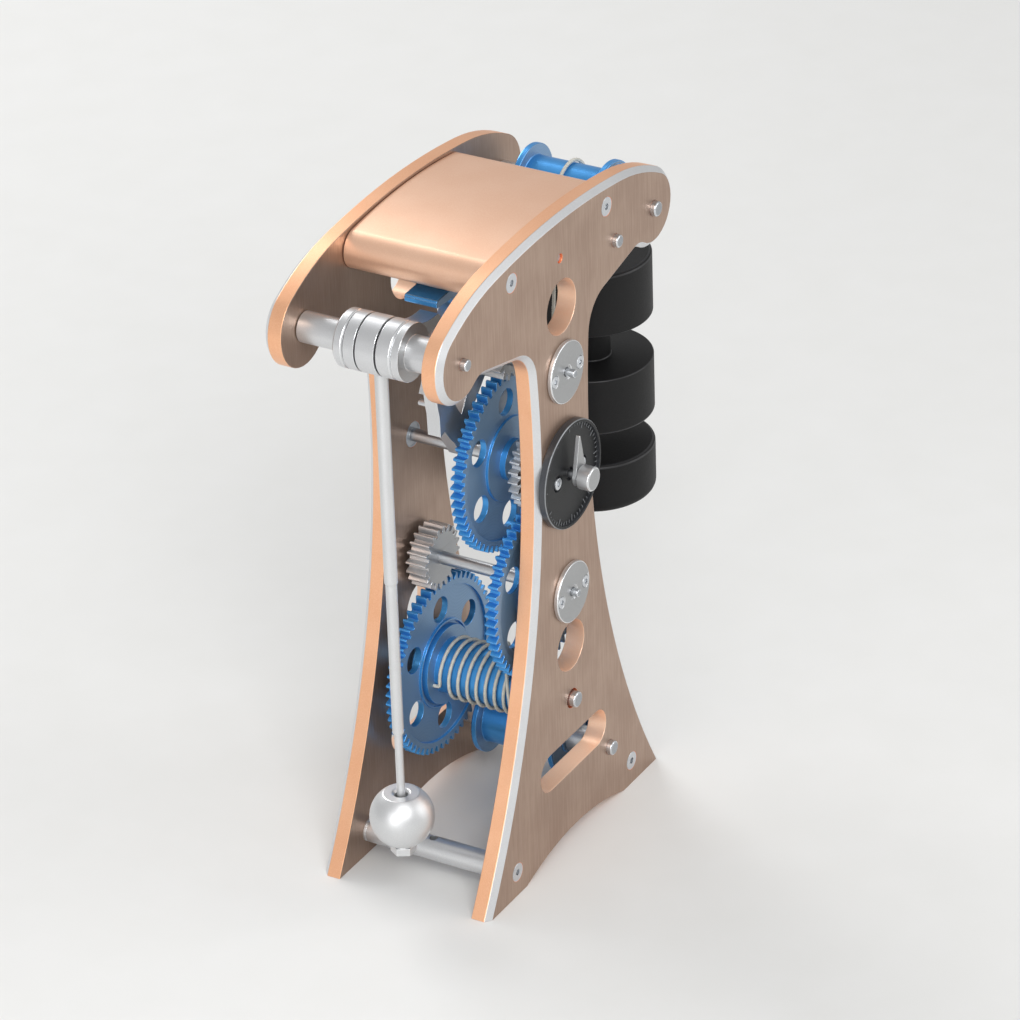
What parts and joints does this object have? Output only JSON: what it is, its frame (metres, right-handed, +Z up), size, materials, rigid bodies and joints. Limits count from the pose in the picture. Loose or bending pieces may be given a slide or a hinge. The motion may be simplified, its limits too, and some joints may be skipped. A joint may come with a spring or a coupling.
{
  "type": "pendulum clock model",
  "caption": "Weight-driven model clock between two shaped plates: drum, gear train, detent escapement, pulleys, hanging weight, pendulum and a small seconds dial.",
  "frame": {"origin": "middle of the bounding box on the table plane under the feet", "axes": "+Z up; the dial and the front plate face -Y; +X to the right seen from the dial side, towards the weight"},
  "size_m": [0.2449, 0.1092, 0.3388],
  "materials": {
    "copper_alloy": "satin anodised, rose copper",
    "blue_alloy": "satin anodised, azure blue",
    "clear_alloy": "satin",
    "steel": "turned, satin",
    "cast_weight": "satin black",
    "dial_black": "satin black",
    "spacer_beige": "matte beige",
    "washer_brass": "polished",
    "line_fibre": "braided line, light grey-beige"
  },
  "bodies": {
    "frame": {"back_plate": "copper_alloy", "front_plate": "copper_alloy", "pillar_top_left": "clear_alloy", "pillar_top_right": "clear_alloy", "pillar_foot_left": "clear_alloy", "pillar_foot_right": "clear_alloy", "centre_studs": "clear_alloy", "top_cover": "copper_alloy", "pillar_screws_front": "steel", "pillar_screws_back": "steel", "arbor_bearings_front": "steel", "arbor_bearings_back": "steel", "bearing_caps": "clear_alloy", "face_screws": "steel", "dial": "dial_black", "drum_bearings": "steel", "detent_arbor": "steel", "detent_sleeve": "clear_alloy", "detent_washer": "washer_brass", "detent_spacer": "spacer_beige", "upper_axle": "steel", "lower_axle": "steel", "pulley_collars": "clear_alloy", "line_run": "line_fibre", "line_drop": "line_fibre"},
    "drum_group": {"drum_arbor": "steel", "drum": "blue_alloy", "drum_wheel": "blue_alloy", "drum_bushing": "clear_alloy", "line_winding": "line_fibre"},
    "third_group": {"third_arbor": "steel", "third_pinion": "clear_alloy", "third_wheel": "blue_alloy", "third_washer": "clear_alloy"},
    "centre_group": {"centre_arbor": "steel", "centre_wheel": "blue_alloy", "centre_pinion": "clear_alloy", "centre_washer": "clear_alloy", "pointer": "clear_alloy", "pointer_nut": "clear_alloy"},
    "escape_group": {"escape_arbor": "steel", "escape_pinion": "clear_alloy", "escape_wheel": "clear_alloy", "escape_pins": "steel"},
    "detent_lever": {"detent": "blue_alloy"},
    "pendulum": {"pendulum_arbor": "steel", "pendulum_hub": "clear_alloy", "impulse_arm": "clear_alloy", "release_arm": "clear_alloy", "hub_front_ring": "clear_alloy", "hub_bush": "clear_alloy", "pendulum_rod": "steel", "pendulum_bob": "steel", "rating_nut": "steel"},
    "pulley_upper": {"upper_pulley": "blue_alloy"},
    "pulley_lower": {"lower_pulley": "blue_alloy"},
    "weight": {"weight_upper": "cast_weight", "weight_lower": "cast_weight", "weight_rod": "cast_weight"}
  },
  "joints": [
    {"name": "escape_turn", "type": "hinge", "parent": "frame", "child": "escape_group", "pos_m": [-0.01305, 0, 0.2588], "axis": [0, 1, 0], "range_deg": [-12461.5, 0]},
    {"name": "centre_turn", "type": "hinge", "parent": "frame", "child": "centre_group", "pos_m": [-0.01305, 0, 0.2048], "axis": [0, 1, 0], "range_deg": [0, 2492.31]},
    {"name": "third_turn", "type": "hinge", "parent": "frame", "child": "third_group", "pos_m": [-0.01305, 0, 0.1403], "axis": [0, 1, 0], "range_deg": [-1080, 0]},
    {"name": "drum_turn", "type": "hinge", "parent": "frame", "child": "drum_group", "pos_m": [-0.01305, 0, 0.0803], "axis": [0, 1, 0], "range_deg": [0, 360]},
    {"name": "upper_pulley_turn", "type": "hinge", "parent": "frame", "child": "pulley_upper", "pos_m": [0.07655, 0, 0.3042], "axis": [0, 1, 0], "range_deg": [0, 431.1]},
    {"name": "lower_pulley_turn", "type": "hinge", "parent": "frame", "child": "pulley_lower", "pos_m": [0.02215, 0, 0.0331], "axis": [0, 1, 0], "range_deg": [-431.1, 0]},
    {"name": "weight_drop", "type": "slide", "parent": "frame", "child": "weight", "axis": [0, 0, -1], "range_m": [0, 0.1106], "deforming": ["line_drop"]},
    {"name": "pendulum_swing", "type": "hinge", "parent": "frame", "child": "pendulum", "pos_m": [-0.10265, 0, 0.3042], "axis": [0, 1, 0], "range_deg": [-5, 5]},
    {"name": "detent_lift", "type": "hinge", "parent": "frame", "child": "detent_lever", "pos_m": [0.03885, 0, 0.3038], "axis": [0, 1, 0], "range_deg": [0, 3]}
  ],
  "couplings": [
    {"joint": "centre_turn", "follows": "escape_turn", "ratio": -0.2},
    {"joint": "third_turn", "follows": "escape_turn", "ratio": 0.086667},
    {"joint": "drum_turn", "follows": "escape_turn", "ratio": -0.028889},
    {"joint": "upper_pulley_turn", "follows": "escape_turn", "ratio": -0.034588},
    {"joint": "lower_pulley_turn", "follows": "escape_turn", "ratio": 0.034588},
    {"joint": "weight_drop", "follows": "escape_turn", "m_per_rad": -0.00050844}
  ]
}
